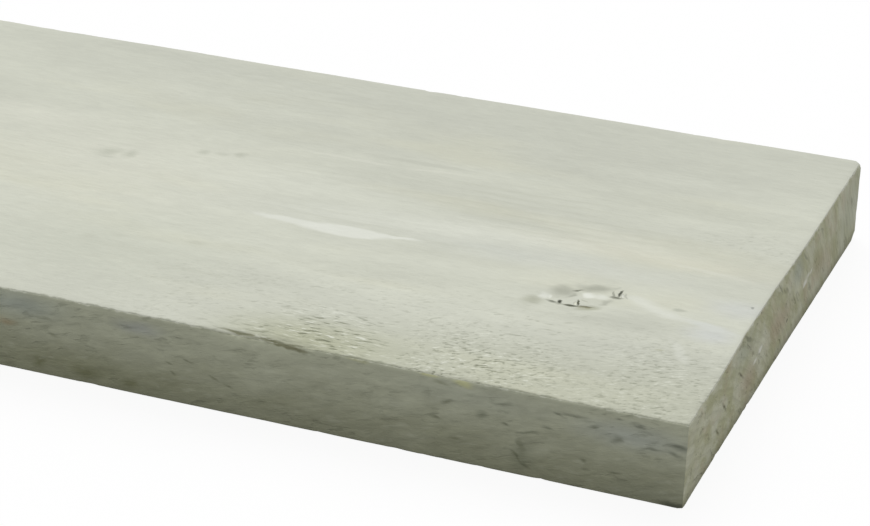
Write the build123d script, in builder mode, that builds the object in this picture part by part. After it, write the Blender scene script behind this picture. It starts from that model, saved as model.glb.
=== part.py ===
# Scaffold board: one softwood plank, sawn to section, crosscut to length and lightly sanded.
# It lies flat. Origin at the middle of the underside, +X along the board, +Y across it, +Z up.
import os

from build123d import *

# Driving dimensions, in millimetres
board_length = 2500.0  # stock length between the two crosscut ends
board_width = 195.0  # across the face
board_thickness = 30.0  # underside to top
long_arris_radius = 1.0  # the four long edges, eased by sanding
end_arris_bevel = 0.4  # the crosscut edges, only broken against splinters

with BuildPart() as board:
    # The sawn section stands on the underside, at the end where the plank starts
    with BuildSketch(Plane.YZ.offset(-board_length / 2)) as section:
        RectangleRounded(
            board_width,
            board_thickness,
            long_arris_radius,
            align=(Align.CENTER, Align.MIN),
        )
    extrude(amount=board_length)

    # Both crosscut ends have their edges broken all the way round
    crosscut_ends = faces().filter_by(Axis.X)
    chamfer(crosscut_ends.edges(), end_arris_bevel)

board.part.label = "board"
os.makedirs("parts", exist_ok=True)
export_step(board.part, "parts/board.step")
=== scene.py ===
import math
import random

import bpy
import numpy as np
from mathutils import Matrix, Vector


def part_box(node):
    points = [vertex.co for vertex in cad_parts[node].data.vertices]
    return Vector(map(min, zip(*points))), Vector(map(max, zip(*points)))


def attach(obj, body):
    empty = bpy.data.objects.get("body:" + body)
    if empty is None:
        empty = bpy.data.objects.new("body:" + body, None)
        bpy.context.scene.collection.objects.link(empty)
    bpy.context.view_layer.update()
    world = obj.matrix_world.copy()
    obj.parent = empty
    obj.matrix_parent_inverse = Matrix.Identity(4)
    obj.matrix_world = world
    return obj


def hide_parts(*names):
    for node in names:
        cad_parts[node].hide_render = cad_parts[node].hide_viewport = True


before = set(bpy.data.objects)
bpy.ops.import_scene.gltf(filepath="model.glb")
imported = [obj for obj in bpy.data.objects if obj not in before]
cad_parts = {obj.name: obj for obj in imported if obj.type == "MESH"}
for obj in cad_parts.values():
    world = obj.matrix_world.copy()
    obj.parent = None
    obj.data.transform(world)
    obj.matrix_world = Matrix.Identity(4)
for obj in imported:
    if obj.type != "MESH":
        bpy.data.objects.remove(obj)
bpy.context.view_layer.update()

# Places on the board are in millimetres: along from the right end, across from the front edge,
# up from the underside
mm = 0.001
low, high = [np.array(corner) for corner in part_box("board")]
boardLength, boardWidth, boardThick = ((high - low) / mm).tolist()
placeScale = (-1 / mm, 1 / mm, 1 / mm)
placeShift = (high[0] / mm, -low[1] / mm, -low[2] / mm)
print(f"frame: board {boardLength:.0f} x {boardWidth:.0f} x {boardThick:.0f} mm")


# Small helpers for node trees, shader and geometry alike

def wire(tree, value, socket):
    if isinstance(value, bpy.types.NodeSocket):
        tree.links.new(value, socket)
    else:
        socket.default_value = value


def calc(tree, operation, *values):
    step = tree.nodes.new("ShaderNodeMath")
    step.operation = operation
    for value, socket in zip(values, step.inputs):
        wire(tree, value, socket)
    return step.outputs[0]


def times(tree, first, second):
    return calc(tree, "MULTIPLY", first, second)


def minus(tree, first, second):
    return calc(tree, "SUBTRACT", first, second)


def timesPlus(tree, first, second, added):
    return calc(tree, "MULTIPLY_ADD", first, second, added)


def vectorCalc(tree, operation, *values):
    step = tree.nodes.new("ShaderNodeVectorMath")
    step.operation = operation
    for value, socket in zip(values, step.inputs):
        wire(tree, value, socket)
    return step.outputs["Value" if operation in ("LENGTH", "DOT_PRODUCT") else "Vector"]


def parts(tree, vector):
    split = tree.nodes.new("ShaderNodeSeparateXYZ")
    wire(tree, vector, split.inputs[0])
    return split.outputs[:3]


def joined(tree, x, y, z):
    join = tree.nodes.new("ShaderNodeCombineXYZ")
    for value, socket in zip((x, y, z), join.inputs):
        wire(tree, value, socket)
    return join.outputs[0]


# 0 at the first value, 1 (or the most given) at the second, with soft ends
def between(tree, value, first, second, most=1.0):
    ramp = tree.nodes.new("ShaderNodeMapRange")
    ramp.interpolation_type = "SMOOTHSTEP"
    wire(tree, value, ramp.inputs["Value"])
    wire(tree, first, ramp.inputs["From Min"])
    wire(tree, second, ramp.inputs["From Max"])
    wire(tree, most, ramp.inputs["To Max"])
    return ramp.outputs["Result"]


noiseSlide = (13.7, 7.3, 3.1)


# Noise whose lumps have the given sizes in millimetres; the seed slides it to another place
def grainNoise(tree, place, sizes, seed, detail=2.0, rough=0.5):
    slide = [seed * step for step in noiseSlide]
    scaled = vectorCalc(tree, "MULTIPLY_ADD", place, [1 / size for size in sizes], slide)
    noise = tree.nodes.new("ShaderNodeTexNoise")
    noise.inputs["Scale"].default_value = 1.0
    noise.inputs["Detail"].default_value = detail
    noise.inputs["Roughness"].default_value = rough
    wire(tree, scaled, noise.inputs["Vector"])
    return noise.outputs[0]


# A grain of a finish, where it shows
def shownGrain(tree, place, finish, name):
    return between(tree, grainNoise(tree, place, *finish["grains"][name]), *finish["bands"][name])


def boardPlace(tree, coordinates):
    return vectorCalc(tree, "MULTIPLY_ADD", coordinates, placeScale, placeShift)


# A place measured from a centre, along three directions of its own
def seenFrom(tree, place, centre, directions):
    offset = vectorCalc(tree, "SUBTRACT", place, centre)
    steps = [vectorCalc(tree, "DOT_PRODUCT", offset, list(direction)) for direction in directions]
    return joined(tree, *steps)


# Colours are written as 0 to 255, as a picture shows them
def toLinear(colour):
    shares = [c / 255 for c in colour]
    return [s / 12.92 if s < 0.04045 else ((s + 0.055) / 1.055) ** 2.4 for s in shares] + [1.0]


# A Mix node's sockets for each kind of value: under, over, result
mixSockets = {"FLOAT": (2, 3, 0), "VECTOR": (4, 5, 1), "RGBA": (6, 7, 2)}


def mixed(tree, kind, amount, under, over, blend="MIX"):
    mix = tree.nodes.new("ShaderNodeMix")
    mix.data_type = kind
    mix.blend_type = blend
    first, second, result = mixSockets[kind]
    wire(tree, amount, mix.inputs[0])
    wire(tree, under, mix.inputs[first])
    wire(tree, over, mix.inputs[second])
    return mix.outputs[result]


def paint(tree, under, over, amount, blend="MIX"):
    under, over = [c if isinstance(c, bpy.types.NodeSocket) else toLinear(c) for c in (under, over)]
    return mixed(tree, "RGBA", amount, under, over, blend)


# Lays a colour on by its own amount, where the mask shows
def coat(tree, under, layer, mask):
    colour, amount = layer
    return paint(tree, under, colour, times(tree, mask, amount))


# Lightens and darkens by a few hundredths either way, from noise that lies about 0.5
def shade(tree, colour, noise, depth):
    gain = timesPlus(tree, noise, 2 * depth, 1 - depth)
    grey = tree.nodes.new("ShaderNodeCombineColor")
    for socket in grey.inputs:
        wire(tree, gain, socket)
    return paint(tree, colour, grey.outputs[0], 1.0, "MULTIPLY")


# Marks are laid out flat on one side of the board: the two directions they run in, the one
# they face, and where that side lies
topSide = {"axes": (0, 1, 2), "level": boardThick}
frontSide = {"axes": (0, 2, 1), "level": 0.0}
endSide = {"axes": (1, 2, 0), "level": 1.3}
markDepth = 5.0  # how far a mark reaches into the wood
strokeReach = 0.55  # half of a stroke's length, and a little more for its soft ends


# A soft oval mark; its core is the share of it that is fully covered
def oval(at, half, colour=None, amount=1.0, core=0.0, turn=0):
    return {"at": at, "half": half, "colour": colour, "amount": amount, "core": core, "turn": turn}


# A stroke from one point to another is a long thin oval that runs a little past both
def stroke(start, stop, wide, colour, amount, core=0.0):
    (x0, y0), (x1, y1) = start, stop
    half = (strokeReach * math.hypot(x1 - x0, y1 - y0) + wide / 2, wide / 2)
    turn = math.degrees(math.atan2(y1 - y0, x1 - x0))
    return oval(((x0 + x1) / 2, (y0 + y1) / 2), half, colour, amount, core, turn)


# The mark's amount in its core, fading out to its rim
def markMask(tree, place, mark, side):
    first, second, outward = side["axes"]
    half, turn = mark["half"], math.radians(mark["turn"])
    centre = [side["level"]] * 3
    centre[first], centre[second] = mark["at"]
    if turn:
        directions = np.zeros((3, 3))
        directions[0, [first, second]] = math.cos(turn) / half[0], math.sin(turn) / half[0]
        directions[1, [first, second]] = -math.sin(turn) / half[1], math.cos(turn) / half[1]
        directions[2, outward] = 1 / markDepth
        seen = seenFrom(tree, place, centre, directions)
    else:
        shrink = [1 / markDepth] * 3
        shrink[first], shrink[second] = 1 / half[0], 1 / half[1]
        slide = [-c * s for c, s in zip(centre, shrink)]
        seen = vectorCalc(tree, "MULTIPLY_ADD", place, shrink, slide)
    reach = vectorCalc(tree, "LENGTH", seen)
    return between(tree, reach, 1.0, mark["core"], mark["amount"])


def paintMarks(tree, colour, place, marks, side):
    for mark in marks:
        colour = paint(tree, colour, mark["colour"], markMask(tree, place, mark, side))
    return colour


frayDetail = 1.5


# Wobbles the outlines of what is painted there
def frayed(tree, place, sizes, reach, seed):
    grains = [grainNoise(tree, place, sizes, seed + step, frayDetail) for step in range(3)]
    wobble = joined(tree, *grains)
    wobble = vectorCalc(tree, "SUBTRACT", wobble, (0.5, 0.5, 0.5))
    return vectorCalc(tree, "MULTIPLY_ADD", wobble, reach, place)


# Turns a place from one axis towards another, for fibres that do not run straight along the board
def slanted(tree, place, degrees, first, second):
    turn = math.radians(degrees)
    directions = np.eye(3)
    directions[first, [first, second]] = math.cos(turn), -math.sin(turn)
    directions[second, [first, second]] = math.sin(turn), math.cos(turn)
    return seenFrom(tree, place, (0, 0, 0), directions)


# 1 on the worn strip beside an arris, with a ragged border; solid is the share of it with no fade
def raggedStrip(tree, distance, noise, wide, raggedness, solid=0.3):
    shifted = timesPlus(tree, noise, -2 * raggedness, distance)
    return between(tree, shifted, wide - raggedness, solid * wide - raggedness)


# Edges and ends are rubbed pale along their top arris, and the strip is also a painted highlight
# where the arris catches the light from above
def rubAndLightTop(tree, colour, place, up, finish):
    crumbs = grainNoise(tree, place, *finish["grains"]["crumbs"])
    fromTop = minus(tree, boardThick, up)
    rubbedAndLit = raggedStrip(tree, fromTop, crumbs, *finish["rubbedLitStrip"])
    return coat(tree, colour, finish["rubbedAndLit"], rubbedAndLit)


# Growth rings lie about a pith below the front edge, and every knot grows out from that pith
timber = {
    "pith": (-30.0, -110.0),  # across, up
    "ringWidth": 3.3,
    "wander": 16.0,  # how far the rings drift along the board
    "ripple": 5.0,
    "knotBend": 0.75,  # how much the rings swell round a knot
    "knotBendFade": -0.2,
    "lateWood": (0.45, 0.92),  # where in a year's ring it darkens
    "lateWoodEnd": (1.0, 0.94),
    "washThins": (420.0, 560.0),  # along the board, where more of the rings begins to show
    # Grains: lump sizes in millimetres, seed, detail, roughness
    "drift": ((700, 160, 160), 3, 1.0),
    "ripples": ((70, 20, 20), 5, 3.0, 0.6),
    "knots": [
        {"at": (56, 64.2), "half": (13.0, 7.4), "turn": 148},
        {"at": (472, 131), "half": (15, 10), "turn": 12},
        {"at": (884, 88), "half": (17, 11), "turn": 172},
        {"at": (1265, 37), "half": (14, 9), "turn": 20},
        {"at": (1303, 118), "half": (11, 8), "turn": 165},
        {"at": (1690, 150), "half": (16, 10), "turn": 5},
        {"at": (2098, 96), "half": (15, 10), "turn": 15},
        {"at": (2141, 24), "half": (9, 6), "turn": 170},
        {"at": (2392, 141), "half": (12, 8), "turn": 158},
    ],
}
throughBoard = 1000.0  # half length of a knot, longer than the board is thick
farOff = 100.0  # beyond this many times its own half width a knot counts for nothing


def knotFrame(knot):
    along, across = knot["at"]
    lean = math.atan2(across - timber["pith"][0], boardThick - timber["pith"][1])
    turned = Matrix.Rotation(-lean, 3, "X") @ Matrix.Rotation(math.radians(knot["turn"]), 3, "Z")
    return (along, across, boardThick), turned, (*knot["half"], throughBoard)


# Shared by the three finishes: the ring that passes here, its dark late wood, and the nearest knot
def makeFigure():
    tree = bpy.data.node_groups.new("timberFigure", "ShaderNodeTree")
    tree.interface.new_socket("Place", in_out="INPUT", socket_type="NodeSocketVector")
    for name in ("Ring", "Late wood", "Knot"):
        tree.interface.new_socket(name, in_out="OUTPUT", socket_type="NodeSocketFloat")
    tree.interface.new_socket("Knot place", in_out="OUTPUT", socket_type="NodeSocketVector")
    place = tree.nodes.new("NodeGroupInput").outputs["Place"]
    across, up = parts(tree, place)[1:]
    nearest = farOff
    knotPlace = (0.0, 0.0, 0.0)
    bent = across
    for knot in timber["knots"]:
        at, turned, half = knotFrame(knot)
        seen = seenFrom(tree, place, at, [turned.col[axis] / half[axis] for axis in range(3)])
        reach = vectorCalc(tree, "LENGTH", seen)
        closer = calc(tree, "LESS_THAN", reach, nearest)
        knotPlace = mixed(tree, "VECTOR", closer, knotPlace, seen)
        nearest = calc(tree, "MINIMUM", reach, nearest)
        fade = calc(tree, "EXPONENT", times(tree, times(tree, reach, reach), timber["knotBendFade"]))
        aside = times(tree, minus(tree, across, at[1]), fade)
        bent = timesPlus(tree, aside, -timber["knotBend"], bent)
    fromPith = joined(tree, 0.0, minus(tree, bent, timber["pith"][0]),
                      minus(tree, up, timber["pith"][1]))
    radius = vectorCalc(tree, "LENGTH", fromPith)
    drift = grainNoise(tree, place, *timber["drift"])
    ripple = grainNoise(tree, place, *timber["ripples"])
    ring = timesPlus(tree, drift, timber["wander"], radius)
    ring = timesPlus(tree, ripple, timber["ripple"], ring)
    year = calc(tree, "FRACT", calc(tree, "DIVIDE", ring, timber["ringWidth"]))
    late = times(tree, between(tree, year, *timber["lateWood"]),
                 between(tree, year, *timber["lateWoodEnd"]))
    outlet = tree.nodes.new("NodeGroupOutput")
    results = {"Ring": ring, "Late wood": late, "Knot": nearest, "Knot place": knotPlace}
    for name, value in results.items():
        wire(tree, value, outlet.inputs[name])
    return tree


figureTree = makeFigure()


# The wash hides most of the rings by the right end and less of them beyond
def ringsShown(tree, along, finish):
    least, more = finish["ringsShown"]
    return timesPlus(tree, between(tree, along, *timber["washThins"]), more, least)


def newFinish(name):
    material = bpy.data.materials.new(name)
    material.use_nodes = True
    tree = material.node_tree
    shader = tree.nodes["Principled BSDF"]
    coordinates = tree.nodes.new("ShaderNodeTexCoord").outputs["Object"]
    place = boardPlace(tree, coordinates)
    figure = tree.nodes.new("ShaderNodeGroup")
    figure.node_tree = figureTree
    wire(tree, place, figure.inputs["Place"])
    return material, tree, shader, place, figure.outputs


woodShine = 0.15


# The bumps go by the names that their heights have in the finish
def finishSurface(tree, shader, finish, colour, gloss, bumps):
    height = 0.0
    for name, grain in bumps.items():
        height = timesPlus(tree, grain, finish[name], height)
    rough = timesPlus(tree, gloss, *finish["roughness"])
    bump = tree.nodes.new("ShaderNodeBump")
    bump.inputs["Distance"].default_value = mm
    bump.inputs["Strength"].default_value = finish["bumpDepth"]
    wire(tree, height, bump.inputs["Height"])
    wire(tree, colour, shader.inputs["Base Color"])
    wire(tree, rough, shader.inputs["Roughness"])
    wire(tree, bump.outputs[0], shader.inputs["Normal"])
    shader.inputs["Specular IOR Level"].default_value = woodShine


# Top and underside: pale wash over sawn wood, with torn grain along the front
washedFace = {
    "pale": (208, 210, 196),
    "grey": (197, 199, 186),
    "lateWood": (180, 182, 165),
    "knotRing": (112, 111, 91),
    # Coats: a colour and how much of it covers
    "straw": ((209, 208, 185), 0.35),
    # Painted shade in the torn grain, and painted highlights on its torn fibres
    "tear": ((118, 121, 100), 0.7),
    "lit": ((232, 234, 222), 0.55),
    # Painted shade along the front arris: the shaded look of the front side laid on the top
    "nickShade": ((138, 141, 121), 0.6),
    "knotHeart": ((184, 183, 164), 0.55),
    "knotRim": ((112, 111, 91), 0.75),
    "knotHalo": ((213, 215, 202), 0.5),
    "ringsShown": (0.2, 0.3),  # everywhere, and added where the wash thins
    "cloudDepth": 0.08,
    "fibreDepth": 0.08,
    "dashStrength": 0.35,
    "knotRagged": 0.8,
    "knotSplitSway": 0.7,
    "knotRings": 24.0,
    "knotRingDepth": 0.3,
    "knotsFrom": (120.0, 160.0),  # along the board, past the knot whose marks are listed one by one
    "tornFrom": (250.0, 340.0),  # past the torn patches that are laid out one by one
    "nickShadeStrip": (1.3, 1.5),  # how wide and how ragged, in millimetres
    "roughness": (0.2, 0.75),  # swing and least
    "bumpDepth": 0.7,
    "fibreBump": 0.25,
    "tornBump": -0.7,
    "crackBump": -0.5,
    "fibreSlant": 18,  # degrees, how the torn fibres lie by the right end
    # Grains: lump sizes in millimetres, seed, detail, roughness
    "grains": {
        "broad": ((180, 44, 44), 1, 2.0),
        "warm": ((90, 24, 24), 2, 2.0),
        "clouds": ((26, 9, 9), 7, 4.0, 0.62),
        "fibre": ((6, 1.5, 1.5), 6, 3.0, 0.65),
        "ringPatch": ((120, 34, 34), 8, 1.0),
        "rough": ((210, 50, 50), 10, 2.0),
        "patchy": ((20, 9, 9), 9, 2.0),
        "short": ((2.3, 0.8, 0.8), 12, 1.5, 0.5),
        "long": ((4.4, 0.95, 0.95), 13, 1.5, 0.55),
        "dashes": ((4.6, 1.3, 1.3), 19, 1.0, 0.5),
        "ragged": ((9, 6, 6), 14, 3.0),
        "broken": ((9, 7, 7), 15, 1.0),
        "crumbs": ((5, 5, 5), 16, 3.0, 0.6),
    },
    # Frays: lump sizes, how far they push each way, seed
    "frays": {
        "loose": ((7, 3, 3), (4.0, 1.8, 0.0), 21),
        "tight": ((3, 1.6, 1.6), (1.2, 0.8, 0.0), 25),
    },
    # Bands: where each begins to show, where it shows in full, and how much if not wholly; from
    # the halo on they are in half widths of a knot
    "bands": {
        "broad": (0.35, 0.65), "warm": (0.5, 0.75), "ringPatch": (0.48, 0.72), "rough": (0.56, 0.78),
        "patchy": (0.22, 0.52), "tear": (0.56, 0.70), "lit": (0.43, 0.30), "dashes": (0.64, 0.74),
        "broken": (0.36, 0.64),
        "halo": (2.0, 1.2), "heart": (1.05, 0.85), "rimInside": (0.8, 0.97),
        "rimOutside": (1.14, 0.99), "rimSide": (0.5, -0.5), "splitAcross": (0.09, 0.03, 0.8),
        "splitAlong": (0.6, 0.2),
    },
    "roughPatches": [
        oval((110, 8), (150, 66), amount=0.4),
        oval((124, 9), (42, 30), amount=1.3, core=0.1),
        oval((74, 4), (56, 50), amount=1.15),
        oval((18, 16), (46, 50), amount=0.68, core=0.1),
        oval((12, 118), (40, 16), amount=0.3),
    ],
    "dashed": oval((70, 6), (160, 66), core=0.5),
    "rippled": oval((130, 8), (42, 34), core=0.5),
    # Broad tones first
    "tones": [
        oval((170, 200), (300, 75), (196, 198, 186), 0.72),
        oval((250, 98), (110, 48), (212, 213, 199), 0.7),
        oval((75, 84), (70, 11), (203, 206, 199), 0.5),
        oval((50, 98), (70, 8), (209, 207, 187), 0.6, core=0.1),
        oval((215, 40), (70, 40), (199, 202, 187), 0.5),
        oval((120, 92), (110, 13), (217, 219, 207), 0.75, turn=-6),
        oval((116, 56), (70, 11), (197, 199, 185), 0.55, turn=-4),
        oval((38, 52), (46, 13), (193, 195, 182), 0.8, turn=-4),
        oval((38, 136), (64, 10), (194, 196, 182), 0.65),
        oval((51, 156), (44, 8), (208, 210, 197), 0.5),
        oval((56, 105), (62, 9), (217, 218, 203), 0.5, turn=14),
        oval((295, 122), (48, 16), (216, 217, 203), 0.65),
        oval((174, 104), (80, 20), (215, 217, 204), 0.5),
        oval((64, 4), (120, 37), (186, 188, 167), 0.66),
        oval((4, 8), (50, 46), (186, 188, 170), 0.5),
        oval((126, 5), (45, 20), (176, 178, 153), 0.85),
        oval((11, 55), (13, 8), (204, 207, 206), 0.6, core=0.1),
        oval((8, 74), (16, 9), (203, 206, 204), 0.5, core=0.1),
    ],
    # The wash sliver, smudges, the marks round the knot by the right end, and painted shade on the
    # chip at the front arris with the painted shadow under its lifted sliver
    "marks": [
        stroke((184, 79.4), (148, 77.8), 5.6, (221, 223, 213), 0.85, core=0.4),
        oval((147, 78), (19, 4.6), (223, 225, 215), 0.85, core=0.6, turn=-2),
        stroke((140.1, 78.8), (120, 81), 3.2, (222, 224, 214), 0.85, core=0.4),
        oval((249.9, 103.5), (5.0, 7.4), (184, 187, 172), 0.65, turn=70),
        oval((248.4, 99.5), (5.0, 1.6), (188, 191, 177), 0.5),
        oval((242, 104.6), (3.6, 5.0), (182, 185, 170), 0.65),
        oval((218.1, 115.6), (4.2, 3.0), (182, 185, 170), 0.6),
        oval((212, 116.6), (3.6, 2.2), (186, 189, 174), 0.5),
        oval((205.5, 118), (3.8, 3.2), (178, 181, 166), 0.6),
        oval((188.5, 51.5), (6.4, 2.4), (188, 190, 174), 0.45),
        oval((225, 43), (5.6, 2.4), (188, 190, 175), 0.4),
        oval((216, 46.5), (4.4, 1.8), (190, 192, 177), 0.35),
        stroke((189.8, 130.2), (146.1, 130), 2.2, (213, 214, 201), 0.6, core=0.3),
        stroke((150, 129.5), (122.2, 133), 2.2, (213, 214, 201), 0.6, core=0.3),
        stroke((167.9, 135.5), (120.2, 136), 3.4, (189, 191, 178), 0.6, core=0.3),
        stroke((97.4, 94.5), (63.6, 100), 2.6, (216, 217, 204), 0.6),
        stroke((49.7, 98.2), (-3, 91.6), 3.0, (215, 216, 203), 0.5),
        stroke((43.3, 69.6), (36.8, 68), 4.4, (213, 215, 203), 0.8, core=0.3),
        stroke((39.7, 68.5), (31.8, 63.8), 9.0, (218, 220, 208), 0.9, core=0.1),
        stroke((33.8, 63.6), (20.9, 61.2), 6.4, (217, 219, 208), 0.9, core=0.1),
        stroke((21.9, 61.7), (5, 58), 5.0, (211, 214, 208), 0.7, core=0.3),
        oval((25.7, 66.6), (3.4, 1.6), (178, 181, 167), 0.7, core=0.3),
        stroke((21.9, 48), (11.9, 34), 5.0, (212, 214, 203), 0.6, core=0.3),
        oval((5.0, 76.7), (0.8, 0.9), (126, 128, 122), 0.65, core=0.3),
        oval((64.2, 65.4), (6.2, 6.4), (164, 166, 152), 0.8, core=0.1),
        stroke((58.6, 69.4), (50.6, 72.4), 7.8, (164, 166, 152), 0.85, core=0.2),
        stroke((62.1, 71), (57.1, 71.5), 4.0, (184, 186, 173), 0.6),
        oval((71.2, 56.2), (5.6, 5.0), (172, 174, 156), 0.8, turn=-22),
        oval((69.2, 60.7), (2.4, 3.2), (222, 224, 214), 0.8, core=0.2),
        stroke((56.4, 55.6), (49.3, 59.3), 3.6, (165, 167, 143), 0.7),
        stroke((50.1, 61), (47.9, 65), 2.8, (174, 176, 162), 0.7, core=0.1),
        oval((58.2, 62.6), (2.6, 2.6), (206, 208, 196), 0.7, core=0.2),
        oval((54.9, 65.2), (3.2, 2.8), (229, 231, 221), 0.9, core=0.3),
        oval((51.2, 65.8), (2.8, 2.4), (222, 224, 213), 0.8, core=0.2),
        stroke((60.2, 65.2), (61.4, 61.6), 2.2, (162, 164, 150), 0.7, core=0.1),
        stroke((56.1, 61.6), (53.9, 61), 1.0, (178, 180, 164), 0.6, core=0.3),
        oval((67.2, 60.8), (1.8, 1.0), (224, 226, 215), 0.8, core=0.3, turn=70),
        stroke((49.7, 73), (48.7, 75), 1.8, (180, 182, 170), 0.6),
        stroke((45.3, 71.2), (43.3, 68.2), 1.2, (170, 172, 160), 0.6, core=0.3),
        stroke((71, 32.2), (65.7, 32.9), 1.3, (164, 166, 150), 0.8),
        stroke((68, 27.4), (62.4, 26.7), 1.4, (166, 168, 150), 0.7),
        stroke((65, 43.4), (63.4, 43.4), 1.3, (168, 170, 154), 0.8),
        stroke((61.4, 42.8), (59, 42.9), 1.3, (174, 176, 160), 0.8),
        stroke((60.5, 39), (58, 39.2), 1.3, (174, 176, 160), 0.8),
        stroke((24.4, 39.6), (22, 40.2), 1.2, (158, 158, 126), 0.8),
        stroke((98, 30.4), (93, 35), 1.4, (178, 180, 164), 0.7),
        stroke((108, 34), (103, 33.6), 1.6, (184, 186, 172), 0.7),
        # Painted shade on the chip at the front arris, and painted shadow under its lifted sliver
        stroke((162, 0.6), (122, 0.3), 3.2, (140, 142, 122), 0.8, core=0.4),
        stroke((158, 2.6), (139, 1.8), 1.5, (112, 112, 84), 0.85, core=0.2),
        stroke((145, 2.1), (125, 1.2), 1.5, (112, 112, 84), 0.85, core=0.2),
    ],
    # Open cracks at the rim of that knot
    "cracks": [
        stroke((67.2, 58.2), (63.2, 57.2), 1.9, (108, 110, 96), 0.8, core=0.1),
        oval((62.7, 58.2), (1.6, 0.95), (56, 59, 46), 0.95, core=0.3, turn=70),
        stroke((63.4, 56.5), (61.2, 56.9), 1.8, (138, 140, 123), 0.6),
        stroke((61, 56.7), (56, 57.2), 1.6, (80, 83, 64), 0.95, core=0.3),
        stroke((56.2, 57.2), (51.7, 58.7), 1.5, (130, 128, 100), 0.85, core=0.3),
        stroke((57.3, 61.3), (56.3, 57.6), 0.95, (84, 87, 68), 0.95, core=0.4),
        oval((57.6, 58.8), (1.4, 0.7), (227, 228, 209), 0.8, core=0.3, turn=70),
        stroke((61.4, 66.3), (58.4, 68.1), 1.4, (120, 122, 106), 0.85, core=0.3),
        stroke((48.6, 66.9), (45.1, 68), 2.2, (110, 112, 98), 0.85, core=0.1),
        stroke((49, 71.2), (47.3, 66.4), 1.0, (146, 148, 134), 0.7, core=0.3),
        stroke((46.6, 68.6), (46.6, 73), 1.3, (80, 83, 70), 0.95, core=0.4),
        oval((45.4, 69.6), (1.3, 0.6), (226, 228, 218), 0.8, core=0.3, turn=70),
    ],
}


def makeWashedFace():
    finish = washedFace
    grains, frays, bands = finish["grains"], finish["frays"], finish["bands"]
    material, tree, shader, place, figure = newFinish("washedFace")
    along, across = parts(tree, place)[:2]
    loose = frayed(tree, place, *frays["loose"])
    tight = frayed(tree, place, *frays["tight"])

    # Wash: broad tones, soft clouds and short fibre
    broad = shownGrain(tree, place, finish, "broad")
    colour = paint(tree, finish["grey"], finish["pale"], broad)
    warm = shownGrain(tree, place, finish, "warm")
    colour = coat(tree, colour, finish["straw"], warm)
    colour = paintMarks(tree, colour, loose, finish["tones"], topSide)
    clouds = grainNoise(tree, place, *grains["clouds"])
    colour = shade(tree, colour, clouds, finish["cloudDepth"])
    fibre = grainNoise(tree, place, *grains["fibre"])
    colour = shade(tree, colour, fibre, finish["fibreDepth"])
    late = times(tree, figure["Late wood"], shownGrain(tree, place, finish, "ringPatch"))
    late = times(tree, late, ringsShown(tree, along, finish))
    colour = paint(tree, colour, finish["lateWood"], late)
    colour = paintMarks(tree, colour, loose, finish["marks"], topSide)

    # Torn grain: short slanting tears, longer ripples in one patch; painted shade in the tears and
    # painted highlights on the torn fibres
    rough = shownGrain(tree, place, finish, "rough")
    rough = times(tree, rough, between(tree, along, *finish["tornFrom"]))
    for patch in finish["roughPatches"]:
        rough = calc(tree, "MAXIMUM", rough, markMask(tree, place, patch, topSide))
    rough = times(tree, rough, shownGrain(tree, place, finish, "patchy"))
    slant = slanted(tree, tight, finish["fibreSlant"], 0, 1)
    short = grainNoise(tree, slant, *grains["short"])
    long = grainNoise(tree, tight, *grains["long"])
    rippled = markMask(tree, place, finish["rippled"], topSide)
    torn = mixed(tree, "FLOAT", rippled, short, long)
    # Painted shade in the tears, with the dark dashes
    tear = times(tree, between(tree, torn, *bands["tear"]), rough)
    dashes = shownGrain(tree, slant, finish, "dashes")
    dashes = times(tree, dashes, markMask(tree, place, finish["dashed"], topSide))
    tear = calc(tree, "MAXIMUM", tear, times(tree, dashes, finish["dashStrength"]))
    # Painted highlights on the torn fibres
    lit = times(tree, between(tree, torn, *bands["lit"]), rough)
    colour = coat(tree, colour, finish["lit"], lit)
    colour = coat(tree, colour, finish["tear"], tear)

    # Knots further along: a ringed heart with a split, a rim that is dark on one side, a pale halo
    ragged = grainNoise(tree, place, *grains["ragged"])
    reach = minus(tree, figure["Knot"], finish["knotRagged"] / 2)
    reach = timesPlus(tree, ragged, finish["knotRagged"], reach)
    further = between(tree, along, *finish["knotsFrom"])
    halo = times(tree, between(tree, reach, *bands["halo"]), further)
    colour = coat(tree, colour, finish["knotHalo"], halo)
    heart = times(tree, between(tree, reach, *bands["heart"]), further)
    colour = coat(tree, colour, finish["knotHeart"], heart)
    waves = calc(tree, "SINE", times(tree, reach, finish["knotRings"]))
    knotRings = between(tree, waves, 0.0, 1.0, finish["knotRingDepth"])
    colour = paint(tree, colour, finish["knotRing"], times(tree, knotRings, heart))
    knotAlong, knotAcross = parts(tree, figure["Knot place"])[:2]
    sway = minus(tree, knotAcross, finish["knotSplitSway"] / 2)
    sway = timesPlus(tree, ragged, finish["knotSplitSway"], sway)
    split = times(tree, between(tree, calc(tree, "ABSOLUTE", sway), *bands["splitAcross"]),
                  between(tree, calc(tree, "ABSOLUTE", knotAlong), *bands["splitAlong"]))
    rim = times(tree, between(tree, reach, *bands["rimInside"]),
                between(tree, reach, *bands["rimOutside"]))
    broken = shownGrain(tree, place, finish, "broken")
    broken = times(tree, broken, between(tree, knotAcross, *bands["rimSide"]))
    rim = times(tree, calc(tree, "MAXIMUM", times(tree, rim, broken), split), further)
    colour = coat(tree, colour, finish["knotRim"], rim)

    # Cracks go in last, and they are cut in as well as painted
    opened = 0.0
    for crack in finish["cracks"]:
        mask = markMask(tree, tight, crack, topSide)
        colour = paint(tree, colour, crack["colour"], mask)
        opened = calc(tree, "MAXIMUM", opened, mask)

    # Arrises are broken, and a ragged strip along the front arris is painted shade, the shaded look
    # of the front side laid on the top
    crumbs = grainNoise(tree, place, *grains["crumbs"])
    nickShaded = raggedStrip(tree, across, crumbs, *finish["nickShadeStrip"])
    colour = coat(tree, colour, finish["nickShade"], nickShaded)

    bumps = {"fibreBump": fibre, "tornBump": times(tree, torn, rough), "crackBump": opened}
    finishSurface(tree, shader, finish, colour, clouds, bumps)
    return material
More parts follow.
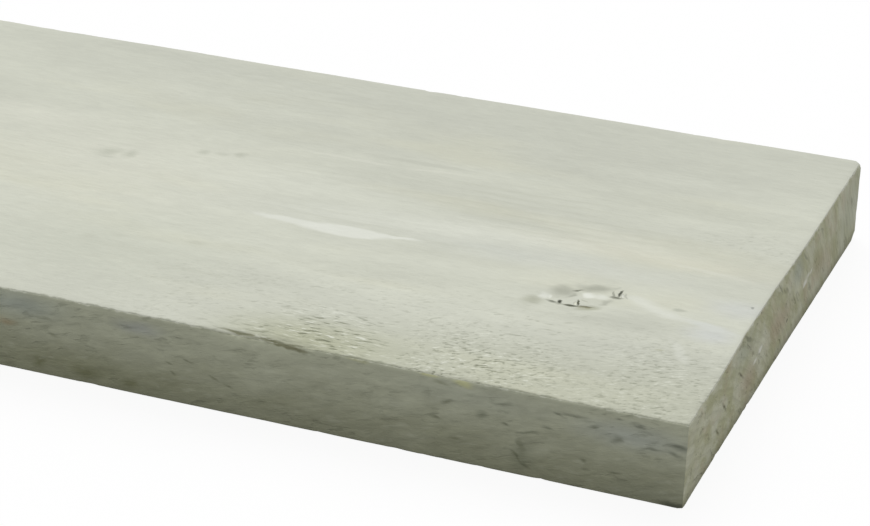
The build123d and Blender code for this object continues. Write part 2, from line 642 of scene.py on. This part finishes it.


# Long edges: rough sawn, greyer at the top arris and olive towards the underside, with painted shade
# that darkens them towards the underside
washedEdge = {
    "upper": (192, 195, 172),
    # The lower colour is an olive tint with painted shade, for the darker low part of the side
    "lower": (162, 164, 139),
    "lateWood": (122, 126, 106),
    # Coats: a colour and how much of it covers
    "fleck": ((122, 126, 106), 0.3),
    "pale": ((206, 209, 190), 0.2),
    # A near-white strip on the top arris: rubbed wash and painted highlight
    "rubbedAndLit": ((240, 242, 228), 0.4),
    "ringsShown": (0.06, 0.16),
    "blotchReach": 28.0,  # how far the two tones run into each other, in millimetres
    "toneRange": (0.0, 26.0),
    "rubbedLitStrip": (0.7, 1.4),
    "mottleDepth": 0.24,
    "fibreDepth": 0.06,
    "roughness": (0.2, 0.75),
    "bumpDepth": 0.9,
    "fibreBump": 0.2,
    "fleckBump": -0.3,
    "mottleBump": 0.6,
    "strokeSlant": -12,  # degrees
    "grains": {
        "blotch": ((20, 20, 8), 32, 3.0, 0.6),
        "mottle": ((9, 9, 3.4), 37, 4.0, 0.6),
        "fibre": ((4.5, 4.5, 1.3), 33, 2.0, 0.6),
        "gathered": ((34, 34, 12), 38, 1.0),
        "fleck": ((6, 6, 2.0), 34, 2.0, 0.5),
        "crumbs": ((3.5, 3.5, 3.5), 17, 2.0, 0.6),
    },
    "frays": {
        "loose": ((9, 9, 3), (5.0, 0.0, 2.2), 35),
        "tight": ((3, 3, 1.2), (2.2, 0.0, 1.3), 39),
        "swayed": ((14, 14, 7), (5.0, 0.0, 2.4), 36),
    },
    "bands": {"gathered": (0.36, 0.6), "fleck": (0.54, 0.74), "pale": (0.42, 0.26)},
    "tones": [
        oval((228, 25), (26, 7), (172, 181, 174), 0.6),
        oval((184, 24.8), (14, 4), (174, 178, 176), 0.6),
        oval((70, 25), (40, 8), (186, 190, 172), 0.5),
        oval((18, 22), (26, 7), (180, 187, 184), 0.5),
        oval((200, 6), (62, 9), (146, 148, 116), 0.35),
        oval((233, 17.6), (6, 2), (176, 160, 128), 0.7),
        oval((221.8, 4.8), (4, 3.2), (128, 130, 98), 0.8),
        oval((204, 4.5), (8, 3.6), (128, 130, 98), 0.8),
        oval((188, 3.6), (5, 3), (130, 132, 100), 0.8),
        oval((66.5, 19), (3.4, 2.4), (138, 142, 122), 0.8),
        oval((53, 7), (6, 8), (138, 142, 120), 0.7, turn=35),
        oval((22.5, 20), (2.8, 2.2), (134, 138, 122), 0.8),
        oval((3, 21.5), (5, 1.6), (132, 136, 122), 0.8),
        oval((12, 4), (22, 5), (146, 149, 128), 0.5),
    ],
    # The painted shadow under the torn sliver and two bare spots under the top arris, then single
    # dark tears
    "marks": [
        # Painted shadow under the torn sliver at the top arris
        stroke((159.7, 29.5), (139.9, 29), 2.0, (112, 112, 84), 0.85, core=0.4),
        stroke((142.8, 29.1), (123, 28.2), 2.0, (116, 115, 86), 0.85, core=0.4),
        stroke((87.4, 29.4), (80.5, 29.2), 2.4, (202, 203, 154), 0.8, core=0.2),
        stroke((75.4, 28.8), (69.4, 28.1), 3.2, (204, 205, 156), 0.8, core=0.2),
        stroke((111.5, 29.6), (103, 29.3), 2.0, (196, 197, 154), 0.7),
        stroke((82.3, 27.7), (76.4, 26.9), 2.2, (128, 130, 104), 0.5),
        stroke((224.2, 21.8), (214, 21.3), 2.0, (134, 137, 116), 0.5),
        stroke((217.3, 16.1), (213.3, 15.7), 1.8, (128, 131, 106), 0.55),
        stroke((168.9, 17.2), (164.7, 15.9), 1.5, (110, 113, 90), 0.55),
        stroke((174.6, 14.9), (172.2, 14.1), 1.5, (112, 115, 92), 0.55),
        stroke((173.1, 11.7), (171.4, 10.5), 1.6, (112, 115, 92), 0.55),
        stroke((159.1, 13.1), (155.7, 11.3), 1.6, (116, 119, 94), 0.55),
        stroke((154.4, 10.9), (150.8, 9.7), 1.5, (114, 117, 94), 0.55),
        stroke((80.1, 20.3), (75, 21.9), 1.9, (120, 123, 102), 0.66),
        stroke((83.3, 15.3), (79.5, 14.7), 1.6, (118, 121, 98), 0.66),
        stroke((77.8, 8.2), (72.9, 9.1), 1.7, (120, 122, 96), 0.5),
        stroke((60.3, 17.4), (57.1, 17.2), 1.5, (106, 110, 92), 0.66),
        stroke((47, 19.3), (42.5, 19), 1.5, (122, 126, 108), 0.66),
        stroke((43, 25.1), (39.9, 24.4), 1.4, (108, 112, 96), 0.66),
        stroke((56.4, 9), (53.6, 5.3), 1.8, (112, 115, 92), 0.66),
        stroke((53.6, 5.3), (50.3, 3.3), 1.8, (106, 109, 88), 0.66),
        stroke((34.1, 10.6), (32.1, 10.1), 1.6, (116, 119, 98), 0.66),
        stroke((7.3, 22), (0, 21.8), 1.7, (114, 118, 104), 0.55),
        stroke((9.9, 1.1), (-1, 1.5), 3.0, (84, 87, 74), 0.8, core=0.1),
        stroke((32.3, 22.3), (27.6, 23.4), 1.6, (124, 128, 110), 0.7),
        stroke((17.5, 26.3), (13.8, 25.8), 1.9, (122, 126, 112), 0.7),
        stroke((22.9, 27.2), (20.7, 27.3), 1.4, (122, 126, 110), 0.6),
        stroke((6.4, 19.5), (2.3, 18.3), 2.4, (126, 130, 114), 0.7),
        stroke((54.8, 15.2), (46.4, 17.1), 1.7, (128, 132, 112), 0.7),
        stroke((42, 25), (30.5, 25.5), 1.5, (132, 136, 118), 0.7),
        stroke((25.7, 7.7), (20.6, 8.5), 1.5, (122, 126, 104), 0.7),
        stroke((63.3, 23.5), (54.9, 25), 1.7, (134, 138, 120), 0.7),
        stroke((54.2, 13.5), (52.8, 9.6), 3.6, (134, 137, 114), 0.7),
        stroke((15.1, 18.9), (7.6, 19.5), 1.7, (130, 134, 118), 0.7),
    ],
}


def makeWashedEdge():
    finish = washedEdge
    grains, frays, bands = finish["grains"], finish["frays"], finish["bands"]
    material, tree, shader, place, figure = newFinish("washedEdge")
    along, _, up = parts(tree, place)
    loose = frayed(tree, place, *frays["loose"])
    tight = frayed(tree, place, *frays["tight"])
    rising = slanted(tree, place, finish["strokeSlant"], 2, 0)
    swayed = frayed(tree, rising, *frays["swayed"])
    blotch = minus(tree, grainNoise(tree, swayed, *grains["blotch"]), 0.5)
    # The side darkens from the upper to the lower colour towards the underside: painted shade, with
    # an olive tint
    depth = timesPlus(tree, blotch, finish["blotchReach"], up)
    raised = between(tree, depth, *finish["toneRange"])
    colour = paint(tree, finish["lower"], finish["upper"], raised)
    colour = paintMarks(tree, colour, loose, finish["tones"], frontSide)
    mottle = grainNoise(tree, swayed, *grains["mottle"])
    colour = shade(tree, colour, mottle, finish["mottleDepth"])
    fibre = grainNoise(tree, swayed, *grains["fibre"])
    colour = shade(tree, colour, fibre, finish["fibreDepth"])

    # Flecks gather in patches, with rubbed pale fibres between them
    gathered = shownGrain(tree, place, finish, "gathered")
    fleckNoise = grainNoise(tree, swayed, *grains["fleck"])
    fleck = times(tree, between(tree, fleckNoise, *bands["fleck"]), gathered)
    colour = coat(tree, colour, finish["fleck"], fleck)
    colour = coat(tree, colour, finish["pale"], between(tree, fleckNoise, *bands["pale"]))
    late = times(tree, figure["Late wood"], ringsShown(tree, along, finish))
    colour = paint(tree, colour, finish["lateWood"], late)
    colour = paintMarks(tree, colour, tight, finish["marks"], frontSide)
    colour = rubAndLightTop(tree, colour, place, up, finish)
    bumps = {"fibreBump": fibre, "fleckBump": fleck, "mottleBump": mottle}
    finishSurface(tree, shader, finish, colour, mottle, bumps)
    return material


# Crosscut ends: saw-torn fibres that lean along the rings
crosscutEnd = {
    "olive": (194, 195, 160),
    "light": (218, 219, 195),
    # Coats: a colour and how much of it covers
    "brown": ((198, 186, 160), 0.45),
    "fleck": ((112, 112, 86), 0.3),
    "rub": ((232, 234, 216), 0.3),
    "lateWood": ((112, 112, 86), 0.1),
    # Darker along the lower edge of the end
    "darkLowEdge": ((112, 112, 86), 0.4),
    # A near-white strip on the top arris: rubbed wash and painted highlight
    "rubbedAndLit": ((244, 245, 232), 0.6),
    "darkLowEdgeRise": 6.0,  # how far the dark low edge reaches up, in millimetres
    "rubbedLitStrip": (0.8, 1.2),
    "fibreDepth": 0.14,
    "roughness": (0.15, 0.8),
    "bumpDepth": 0.9,
    "fibreBump": 0.6,
    "fleckBump": -0.4,
    "roundPith": 180.0,  # millimetres for each radian about the pith
    # These grains run through the rings, round the pith and along the board
    "grains": {
        "broad": ((8, 16, 40), 41, 4.0, 0.6),
        "warm": ((7, 14, 40), 42, 3.0),
        "fibre": ((2.6, 9, 20), 43, 3.0, 0.6),
        "fleck": ((2.6, 7, 20), 44, 2.0, 0.5),
        "crumbs": ((3.5, 3.5, 3.5), 18, 2.0, 0.6),
    },
    "frays": {
        "tight": ((3, 3, 3), (0.0, 1.4, 1.4), 49),
        "leaning": ((6, 16, 16), (2.4, 5.0, 0.0), 46),
    },
    "bands": {"broad": (0.36, 0.64), "warm": (0.5, 0.7), "fleck": (0.58, 0.76), "rub": (0.40, 0.25)},
    "tones": [
        oval((5, 15), (12, 24), (206, 207, 182), 0.6),
        oval((186, 16), (26, 26), (208, 212, 192), 0.7),
        oval((150, 12), (22, 9), (192, 181, 156), 0.5, turn=-12),
        oval((100, 14), (20, 8), (194, 181, 156), 0.7, turn=-8),
        oval((66, 10), (16, 8), (192, 179, 154), 0.7, turn=-14),
        oval((118, 24), (12, 7), (190, 198, 186), 0.6, turn=-40),
        oval((60, 24), (22, 8), (188, 194, 176), 0.5, turn=-10),
    ],
    "marks": [
        stroke((71, 13.2), (74.4, 13.4), 2.6, (244, 244, 230), 0.95, core=0.2),
        stroke((76.6, 14.8), (79.6, 15.2), 3.0, (248, 248, 236), 0.95, core=0.2),
        stroke((126.4, 14.0), (130.4, 14.0), 3.4, (246, 246, 234), 0.9, core=0.2),
        stroke((130.8, 15.4), (133.6, 15.4), 2.4, (240, 240, 226), 0.8, core=0.1),
        oval((135.4, 15.2), (1.2, 1.2), (246, 246, 234), 0.9, core=0.2),
        stroke((122, 28.8), (130, 21.8), 1.8, (136, 140, 122), 0.6),
        stroke((96.4, 28.7), (101.5, 23.2), 1.8, (140, 142, 118), 0.6),
        stroke((113.8, 16.3), (118.5, 11.4), 1.8, (134, 134, 108), 0.6),
        oval((108.6, 9.9), (1.0, 0.9), (84, 84, 68), 0.9, core=0.3),
        stroke((58.2, 29.5), (68, 23.2), 2.2, (140, 143, 120), 0.7, core=0.3),
        stroke((36, 18), (42, 11.5), 2.0, (112, 112, 88), 0.85),
        stroke((52.6, 20), (60.9, 13.3), 1.8, (108, 104, 84), 0.85),
        stroke((30, 12), (36, 6), 2.0, (116, 116, 90), 0.85),
    ],
}


def makeCrosscutEnd():
    finish = crosscutEnd
    grains, frays, bands = finish["grains"], finish["frays"], finish["bands"]
    material, tree, shader, place, figure = newFinish("crosscutEnd")
    along, across, up = parts(tree, place)
    tight = frayed(tree, place, *frays["tight"])
    bearing = calc(tree, "ARCTAN2", minus(tree, across, timber["pith"][0]),
                   minus(tree, up, timber["pith"][1]))
    leaning = joined(tree, figure["Ring"], times(tree, bearing, finish["roundPith"]), along)
    leaning = frayed(tree, leaning, *frays["leaning"])
    broad = shownGrain(tree, leaning, finish, "broad")
    colour = paint(tree, finish["olive"], finish["light"], broad)
    warm = shownGrain(tree, leaning, finish, "warm")
    colour = coat(tree, colour, finish["brown"], warm)
    colour = paintMarks(tree, colour, tight, finish["tones"], endSide)
    fibre = grainNoise(tree, leaning, *grains["fibre"])
    colour = shade(tree, colour, fibre, finish["fibreDepth"])
    fleckNoise = grainNoise(tree, leaning, *grains["fleck"])
    fleck = between(tree, fleckNoise, *bands["fleck"])
    colour = coat(tree, colour, finish["fleck"], fleck)
    colour = coat(tree, colour, finish["rub"], between(tree, fleckNoise, *bands["rub"]))
    colour = coat(tree, colour, finish["lateWood"], figure["Late wood"])
    colour = paintMarks(tree, colour, tight, finish["marks"], endSide)
    colour = coat(tree, colour, finish["darkLowEdge"], between(tree, up, finish["darkLowEdgeRise"], 0.0))
    colour = rubAndLightTop(tree, colour, place, up, finish)
    finishSurface(tree, shader, finish, colour, fibre, {"fibreBump": fibre, "fleckBump": fleck})
    return material


# The board itself: a closed lattice with eased arrises, fine by the right end, then relief
# from geometry nodes
board = {
    "arris": 1.0,
    "endEase": 0.4,
    "fineStep": 1.5,  # lattice spacing by the right end and along the front
    "fineLength": 245.0,
    "fineWidth": 72.0,
    "lengthGrowth": 1.04,
    "longestStep": 11.0,
    "widthGrowth": 1.15,
    "widestStep": 3.4,
    "thickStep": 1.65,
    "seed": 7,
    "chips": [
        {"edge": "frontTop", "from": 121, "to": 160, "deep": 1.3},
        {"edge": "frontTop", "from": 66, "to": 90, "deep": 0.7},
    ],
    "nicks": {"frontTop": 60, "backTop": 30, "frontLow": 40, "backLow": 40, "rightTop": 14,
              "leftTop": 12, "leftLow": 8},
    "nickSpan": {"fine": (4, 10), "coarse": (30, 80)},
    "nickDepth": {"fine": (0.05, 0.25), "coarse": (0.1, 0.5)},
    "nickCrowding": 1.6,  # above 1, more of them by the right end
    "chipReach": 2.2,  # how far a chip runs into the sides, beyond its depth
    "crispEdges": ("backTop", "frontLow"),  # these stay straight by the right end
    # How far the right end's saw cut stands back at places across the board, on its top and
    # lower edges
    "cutPlaces": (0, 30, 60, 95, 120, 195),
    "cutTop": (0.0, 0.2, 1.2, 1.2, 0.7, 0.9),
    "cutLow": (1.3, 1.6, 1.7, 1.8, 1.8, 1.7),
    "cutFade": 25.0,
    "cornerRound": 1.2,  # above 1, a knocked corner is rounded out
    # How much is knocked off each corner, right end first
    "corners": {
        (0, 0, 0): 1.8, (0, 1, 1): 2.8, (0, 1, 0): 3.0, (0, 0, 1): 0.8,
        (1, 0, 0): 4.0, (1, 0, 1): 5.0, (1, 1, 0): 3.0, (1, 1, 1): 4.0,
    },
}
boardSize = np.array([boardLength, boardWidth, boardThick])
# Each edge: the direction it runs in, then the two it lies against, low side 0 or high side 1
boardEdges = {
    "frontTop": (0, (1, 0), (2, 1)),
    "backTop": (0, (1, 1), (2, 1)),
    "frontLow": (0, (1, 0), (2, 0)),
    "backLow": (0, (1, 1), (2, 0)),
    "rightTop": (1, (0, 0), (2, 1)),
    "leftTop": (1, (0, 1), (2, 1)),
    "leftLow": (1, (0, 1), (2, 0)),
}
relief = {
    "Seed": 3.0,
    "Wave height": 0.20,  # millimetres
    "Fibre height": 0.16,
    "Tear depth": 0.30,
    "Knot groove": 0.30,
    "Arris wear": 0.15,
}
reliefGrains = {
    "wave": ((190, 60, 60), 51, 1.0),
    "fibre": ((16, 4, 4), 52, 2.0),
    "tear": ((7, 3, 3), 53, 1.0),
    "worn": ((34, 60, 60), 54, 2.0),
}
reliefBands = {
    "tear": (0.55, 0.8), "worn": (0.4, 0.8),
    "grooveInside": (0.6, 0.95), "grooveOutside": (1.35, 1.0),  # half widths of a knot
    "arris": (2.6, 0.2),  # millimetres
}
seedStep = 37.0  # how far along the seed moves the relief
sunkBy = 0.7  # it sinks in more than it stands out, so the board stays inside its sawn size


# Lattice lines that start close together and spread out; the last gap is never under half a step
def spreadLines(start, stop, first, growth, largest):
    lines = [start]
    step = first
    while lines[-1] + 1.5 * step < stop:
        lines.append(lines[-1] + step)
        step = min(step * growth, largest)
    return lines


def latticeLines():
    ease, arris = board["endEase"], board["arris"]
    alongLines = [0, ease / 2]
    alongLines += spreadLines(ease, board["fineLength"], board["fineStep"], 1.0, board["fineStep"])
    alongLines += spreadLines(board["fineLength"], boardLength - ease, board["fineStep"],
                              board["lengthGrowth"], board["longestStep"])
    alongLines += [boardLength - ease, boardLength - ease / 2, boardLength]
    acrossLines = [0, arris / 2]
    acrossLines += spreadLines(arris, board["fineWidth"], board["fineStep"], 1.0, board["fineStep"])
    acrossLines += spreadLines(board["fineWidth"], boardWidth - arris, board["fineStep"],
                               board["widthGrowth"], board["widestStep"])
    acrossLines += [boardWidth - arris, boardWidth - arris / 2, boardWidth]
    upLines = [0, arris / 2]
    upLines += spreadLines(arris, boardThick - arris, board["thickStep"], 1.0, board["thickStep"])
    upLines += [boardThick - arris, boardThick - arris / 2, boardThick]
    return [np.array(lines, float) for lines in (alongLines, acrossLines, upLines)]


# The skin of a box lattice as quads, with the axis that each quad faces
def latticeSkin(lines):
    counts = [len(row) for row in lines]
    quads = []
    facing = []
    for axis in range(3):
        first, second = (axis + 1) % 3, (axis + 2) % 3
        a, b = np.meshgrid(np.arange(counts[first]), np.arange(counts[second]), indexing="ij")
        for side in (0, counts[axis] - 1):
            index = [None] * 3
            index[axis], index[first], index[second] = np.full_like(a, side), a, b
            code = (index[0] * counts[1] + index[1]) * counts[2] + index[2]
            loop = [code[:-1, :-1], code[1:, :-1], code[1:, 1:], code[:-1, 1:]]
            if side:  # along runs against X, so the far side of each axis is wound the other way
                loop.reverse()
            quads.append(np.stack(loop, -1).reshape(-1, 4))
            facing.append(np.full(len(quads[-1]), axis))
    used, quads = np.unique(np.concatenate(quads), return_inverse=True)
    index = (used // (counts[1] * counts[2]), used // counts[2] % counts[1], used % counts[2])
    points = np.stack([row[i] for row, i in zip(lines, index)], -1)
    return points, quads.reshape(-1, 4), np.concatenate(facing)


def easeArrises(points):
    inset = np.array([board["endEase"], board["arris"], board["arris"]])
    inner = np.clip(points, inset, boardSize - inset)
    outward = (points - inner) / inset
    outward /= np.linalg.norm(outward, axis=1, keepdims=True)
    return inner + inset * outward


# Where the lattice is coarse only long nicks show
def randomNicks():
    chance = random.Random(board["seed"])
    nicks = []
    for edge, count in board["nicks"].items():
        length = boardSize[boardEdges[edge][0]]
        for _ in range(count):
            start = length * chance.random() ** board["nickCrowding"]
            lattice = "fine" if start < board["fineLength"] else "coarse"
            span = chance.uniform(*board["nickSpan"][lattice])
            deep = chance.uniform(*board["nickDepth"][lattice])
            if lattice == "coarse" or edge not in board["crispEdges"]:
                nicks.append({"edge": edge, "from": start, "to": start + span, "deep": deep})
    return nicks


# Slivers lost from the arrises
def chipArrises(points):
    for chip in board["chips"] + randomNicks():
        run, *sides = boardEdges[chip["edge"]]
        span = (points[:, run] - chip["from"]) / (chip["to"] - chip["from"])
        swell = np.where((span > 0) & (span < 1), np.sin(np.pi * np.clip(span, 0, 1)) ** 0.5, 0)
        away = sum(np.abs(points[:, axis] - side * boardSize[axis]) for axis, side in sides)
        near = np.clip(1 - away / (board["chipReach"] + chip["deep"]), 0, 1)
        for axis, side in sides:
            points[:, axis] += (1 - 2 * side) * swell * near * chip["deep"]
    return points


def knockCorners(points):
    for corner, off in board["corners"].items():
        at = np.array(corner)
        away = np.abs(points - at * boardSize).sum(1)
        cut = np.clip(1 - away / off, 0, 1) ** board["cornerRound"] * off / len(at)
        points += cut[:, None] * (1 - 2 * at)
    return points


# The saw wandered and leaned as it cut the right end
def leanRightEnd(points):
    along, across, up = points.T
    topBack = np.interp(across, board["cutPlaces"], board["cutTop"])
    lowBack = np.interp(across, board["cutPlaces"], board["cutLow"])
    back = lowBack + (topBack - lowBack) * up / boardThick
    points[:, 0] = along + back * np.clip(1 - along / board["cutFade"], 0, 1)
    return points


def knotReach(points):
    nearest = np.full(len(points), farOff)
    for knot in timber["knots"]:
        at, turned, half = knotFrame(knot)
        local = (points - at) @ np.array(turned) / half
        nearest = np.minimum(nearest, np.linalg.norm(local, axis=1))
    return nearest


def sawBlank():
    points, quads, facing = latticeSkin(latticeLines())
    points = leanRightEnd(knockCorners(chipArrises(easeArrises(points))))
    mesh = bpy.data.meshes.new("scaffoldBoard")
    world = (points - np.array(placeShift)) / np.array(placeScale)
    mesh.from_pydata(world.tolist(), [], quads.tolist())
    mesh.polygons.foreach_set("use_smooth", np.ones(len(quads), bool))
    mesh.attributes.new("facing", "INT", "FACE").data.foreach_set("value", facing.astype(np.int32))
    along, across, up = points.T
    fromEdge = np.minimum(across, boardWidth - across) + np.minimum(up, boardThick - up)
    fineness = np.clip(1 - (along - board["fineLength"]) / board["fineLength"], 0, 1)
    for name, values in (("knot", knotReach(points)), ("fromArris", fromEdge), ("fine", fineness)):
        layer = mesh.attributes.new(name, "FLOAT", "POINT")
        layer.data.foreach_set("value", values.astype(np.float32))
    print(f"blank: {len(points)} points, {len(quads)} quads")
    return mesh


def readAttribute(tree, name, kind="FLOAT"):
    reader = tree.nodes.new("GeometryNodeInputNamedAttribute")
    reader.data_type = kind
    reader.inputs["Name"].default_value = name
    return next(outlet for outlet in reader.outputs if outlet.enabled)


def makeReliefTree():
    tree = bpy.data.node_groups.new("sawnRelief", "GeometryNodeTree")
    tree.interface.new_socket("Geometry", in_out="INPUT", socket_type="NodeSocketGeometry")
    for name in relief:
        tree.interface.new_socket(name, in_out="INPUT", socket_type="NodeSocketFloat")
    for name in ("Face finish", "Edge finish", "End finish"):
        tree.interface.new_socket(name, in_out="INPUT", socket_type="NodeSocketMaterial")
    tree.interface.new_socket("Geometry", in_out="OUTPUT", socket_type="NodeSocketGeometry")
    inlet = tree.nodes.new("NodeGroupInput").outputs
    place = boardPlace(tree, tree.nodes.new("GeometryNodeInputPosition").outputs[0])
    seedShift = times(tree, inlet["Seed"], seedStep)
    place = vectorCalc(tree, "ADD", place, joined(tree, seedShift, 0.0, 0.0))
    grain = {name: grainNoise(tree, place, *layer) for name, layer in reliefGrains.items()}
    fine = readAttribute(tree, "fine")
    height = times(tree, minus(tree, grain["wave"], sunkBy), inlet["Wave height"])
    fibre = times(tree, minus(tree, grain["fibre"], sunkBy), fine)
    height = timesPlus(tree, fibre, inlet["Fibre height"], height)
    tear = times(tree, between(tree, grain["tear"], *reliefBands["tear"]), fine)
    knot = readAttribute(tree, "knot")
    groove = times(tree, between(tree, knot, *reliefBands["grooveInside"]),
                   between(tree, knot, *reliefBands["grooveOutside"]))
    arris = between(tree, readAttribute(tree, "fromArris"), *reliefBands["arris"])
    worn = between(tree, grain["worn"], *reliefBands["worn"])
    cuts = {"Tear depth": tear, "Knot groove": groove, "Arris wear": times(tree, arris, worn)}
    for name, cut in cuts.items():
        height = minus(tree, height, times(tree, cut, inlet[name]))
    lift = tree.nodes.new("ShaderNodeVectorMath")
    lift.operation = "SCALE"
    wire(tree, tree.nodes.new("GeometryNodeInputNormal").outputs[0], lift.inputs[0])
    wire(tree, times(tree, height, mm), lift.inputs["Scale"])
    raised = tree.nodes.new("GeometryNodeSetPosition")
    wire(tree, inlet["Geometry"], raised.inputs["Geometry"])
    wire(tree, lift.outputs[0], raised.inputs["Offset"])
    whole = tree.nodes.new("GeometryNodeRealizeInstances")
    wire(tree, raised.outputs[0], whole.inputs[0])
    geometry = whole.outputs[0]
    facing = readAttribute(tree, "facing", "INT")
    for axis, name in ((2, "Face finish"), (1, "Edge finish"), (0, "End finish")):
        same = tree.nodes.new("FunctionNodeCompare")
        same.data_type = "INT"
        same.operation = "EQUAL"
        sides = [socket for socket in same.inputs if socket.enabled]
        wire(tree, facing, sides[0])
        sides[1].default_value = axis
        dress = tree.nodes.new("GeometryNodeSetMaterial")
        wire(tree, geometry, dress.inputs["Geometry"])
        wire(tree, same.outputs[0], dress.inputs["Selection"])
        wire(tree, inlet[name], dress.inputs["Material"])
        geometry = dress.outputs[0]
    wire(tree, geometry, tree.nodes.new("NodeGroupOutput").inputs[0])
    return tree


def makeBoard():
    piece = bpy.data.objects.new("scaffoldBoard", sawBlank())
    bpy.context.scene.collection.objects.link(piece)
    finishes = {
        "Face finish": makeWashedFace(),
        "Edge finish": makeWashedEdge(),
        "End finish": makeCrosscutEnd(),
    }
    print("finishes:", ", ".join(material.name for material in finishes.values()))
    piece.data.materials.append(finishes["Face finish"])
    tree = makeReliefTree()
    modifier = piece.modifiers.new("relief", "NODES")
    modifier.node_group = tree
    for socket in tree.interface.items_tree:
        if socket.in_out == "INPUT" and socket.name in relief:
            modifier[socket.identifier] = relief[socket.name]
        elif socket.in_out == "INPUT" and socket.name in finishes:
            modifier[socket.identifier] = finishes[socket.name]
    evaluated = piece.evaluated_get(bpy.context.evaluated_depsgraph_get())
    dressed = bpy.data.meshes.new_from_object(evaluated)
    piece.modifiers.clear()
    piece.data = dressed
    dressed.name = "scaffoldBoard"
    dressed.calc_loop_triangles()
    print(f"board: {len(dressed.loop_triangles)} triangles, {len(dressed.materials)} finishes")
    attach(piece, "root")
    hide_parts("board")


# Floor: white to the camera, mid grey to the light that bounces off it
floorPlan = {"half": 30.0, "seen": 1.0, "bounce": 0.35, "glow": 0.92}  # half in metres


def seenRays(tree):
    rays = tree.nodes.new("ShaderNodeLightPath").outputs
    seen = calc(tree, "MAXIMUM", rays["Is Camera Ray"], rays["Is Glossy Ray"])
    return calc(tree, "MAXIMUM", seen, rays["Is Transmission Ray"])


def makeFloor():
    half = floorPlan["half"]
    mesh = bpy.data.meshes.new("floor")
    corners = [(-half, -half, 0), (half, -half, 0), (half, half, 0), (-half, half, 0)]
    mesh.from_pydata(corners, [], [(0, 1, 2, 3)])
    floor = bpy.data.objects.new("floor", mesh)
    bpy.context.scene.collection.objects.link(floor)
    material = bpy.data.materials.new("paperFloor")
    material.use_nodes = True
    tree = material.node_tree
    tree.nodes.remove(tree.nodes["Principled BSDF"])
    matt = tree.nodes.new("ShaderNodeBsdfDiffuse")
    seen, bounce = floorPlan["seen"], floorPlan["bounce"]
    level = timesPlus(tree, seenRays(tree), seen - bounce, bounce)
    wire(tree, joined(tree, level, level, level), matt.inputs["Color"])
    glow = tree.nodes.new("ShaderNodeEmission")
    lightened = tree.nodes.new("ShaderNodeMixShader")
    wire(tree, times(tree, seenRays(tree), floorPlan["glow"]), lightened.inputs[0])
    wire(tree, matt.outputs[0], lightened.inputs[1])
    wire(tree, glow.outputs[0], lightened.inputs[2])
    wire(tree, lightened.outputs[0], tree.nodes["Material Output"].inputs["Surface"])
    mesh.materials.append(material)


# Light: an even sky and one wide soft lamp from behind on the left
studio = {"sky": 0.55, "lamp": 1.75, "lampTurn": 30.0, "lampTilt": 38.0, "lampSoft": 45.0}


def makeLight():
    world = bpy.data.worlds.new("studio")
    bpy.context.scene.world = world
    world.use_nodes = True
    tree = world.node_tree
    level = timesPlus(tree, seenRays(tree), 1 - studio["sky"], studio["sky"])
    wire(tree, level, tree.nodes["Background"].inputs["Strength"])
    tree.nodes["Background"].inputs["Color"].default_value = (1, 1, 1, 1)
    sun = bpy.data.lights.new("softLamp", "SUN")
    sun.energy = studio["lamp"]
    sun.angle = math.radians(studio["lampSoft"])
    lamp = bpy.data.objects.new("softLamp", sun)
    lamp.matrix_world = (Matrix.Rotation(math.radians(studio["lampTurn"]), 4, "Z")
                         @ Matrix.Rotation(math.radians(-studio["lampTilt"]), 4, "X"))
    bpy.context.scene.collection.objects.link(lamp)


# Camera: where the photograph was taken from, measured from the near top corner at the right end
photoView = {
    "eyeFromCorner": (215.2, -698.7, 433.7),
    "turn": 22.98,
    "drop": 27.52,
    "roll": -0.50,
    "lens": 118.7,
    "sensor": 36.0,
}


def makeCamera():
    data = bpy.data.cameras.new("photoCamera")
    data.lens = photoView["lens"]
    data.sensor_width = photoView["sensor"]
    camera = bpy.data.objects.new("photoCamera", data)
    corner = np.array([high[0], low[1], high[2]])
    eye = corner + np.array(photoView["eyeFromCorner"]) * mm
    camera.matrix_world = (Matrix.Translation(eye.tolist())
                           @ Matrix.Rotation(math.radians(photoView["turn"]), 4, "Z")
                           @ Matrix.Rotation(math.radians(90 - photoView["drop"]), 4, "X")
                           @ Matrix.Rotation(math.radians(photoView["roll"]), 4, "Z"))
    bpy.context.scene.collection.objects.link(camera)
    bpy.context.scene.camera = camera


makeBoard()
makeFloor()
makeLight()
makeCamera()
bpy.context.scene.view_settings.view_transform = "Standard"
print("stage: floor, light and camera set")
